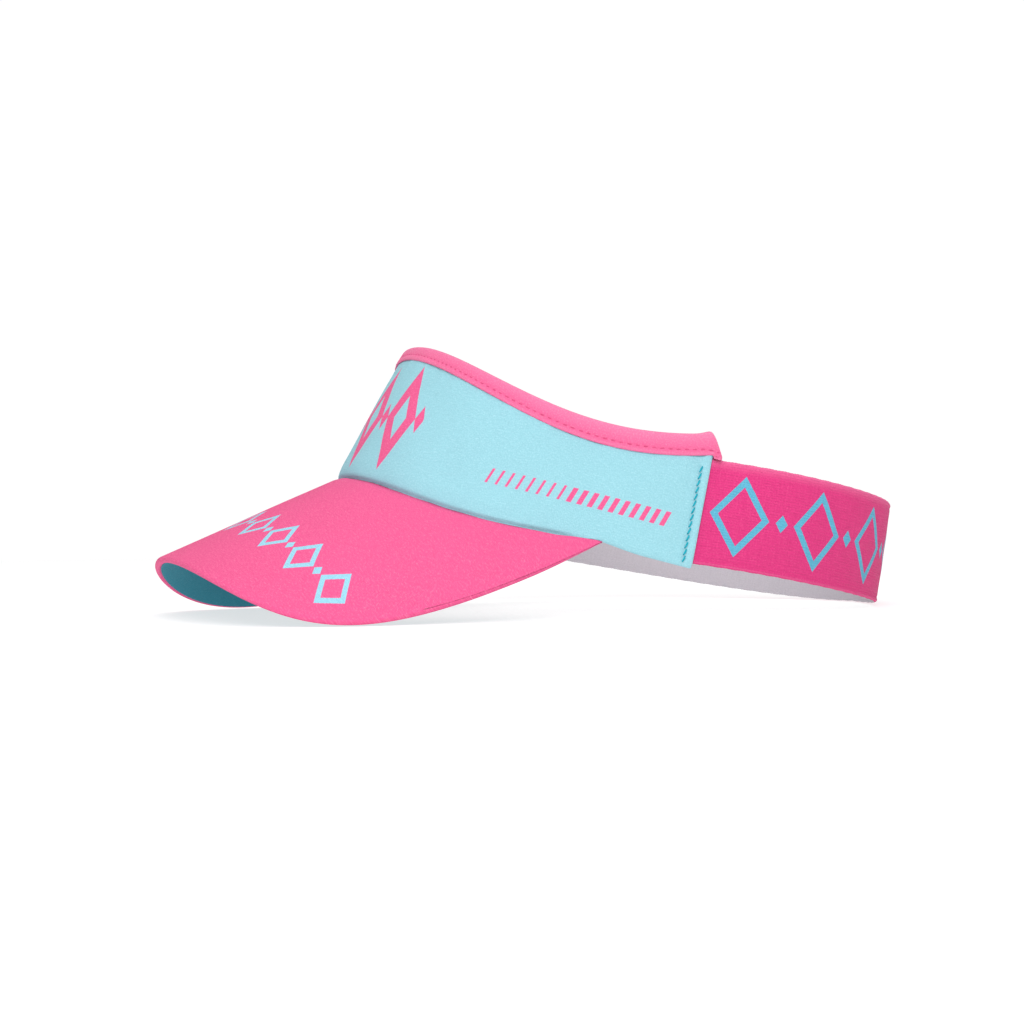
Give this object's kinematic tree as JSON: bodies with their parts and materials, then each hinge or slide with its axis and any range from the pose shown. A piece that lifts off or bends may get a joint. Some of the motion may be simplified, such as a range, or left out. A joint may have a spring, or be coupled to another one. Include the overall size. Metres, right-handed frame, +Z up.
{
  "type": "sun visor",
  "caption": "Fabric sun visor: a leaning front panel with taped top edge and sweatband, a sewn-in arched foam-core brim, and a wide elastic strap behind the head.",
  "frame": {"origin": "on the surface it stands on, under the middle of its length and width", "axes": "+Z up, -Y to the front of the brim, +X to the wearer's left"},
  "size_m": [0.1564, 0.2825, 0.0981],
  "materials": {
    "panel_knit": "fine printed polyester knit",
    "foam": "matt closed-cell foam",
    "lining_knit": "plain warp knit",
    "towelling": "short looped towelling",
    "grey_thread": "polyester sewing thread",
    "binding_tape": "folded knit tape",
    "pink_thread": "polyester sewing thread",
    "turquoise_thread": "polyester sewing thread",
    "brim_knit": "fine printed polyester knit",
    "under_knit": "fine printed polyester knit",
    "elastic": "ribbed woven elastic",
    "label_satin": "woven satin"
  },
  "bodies": {
    "front": {"front_panel": "panel_knit", "panel_interlining": "foam", "panel_lining": "lining_knit", "sweatband": "towelling", "sweatband_overlock": "grey_thread", "top_binding": "binding_tape", "binding_stitch": "pink_thread", "left_end_stitch": "turquoise_thread", "right_end_stitch": "turquoise_thread", "brim_top_cover": "brim_knit", "brim_core": "foam", "brim_under_cover": "under_knit", "brim_edge_stitch": "turquoise_thread", "brim_seam_stitch": "grey_thread"},
    "strap": {"elastic_strap": "elastic", "size_label": "label_satin"}
  },
  "joints": [
    {"name": "strap_stretch", "type": "slide", "parent": "front", "child": "strap", "axis": [0, 1, 0], "range_m": [0, 0.04], "stiffness_N_per_m": 150, "deforming": ["elastic_strap"]}
  ]
}
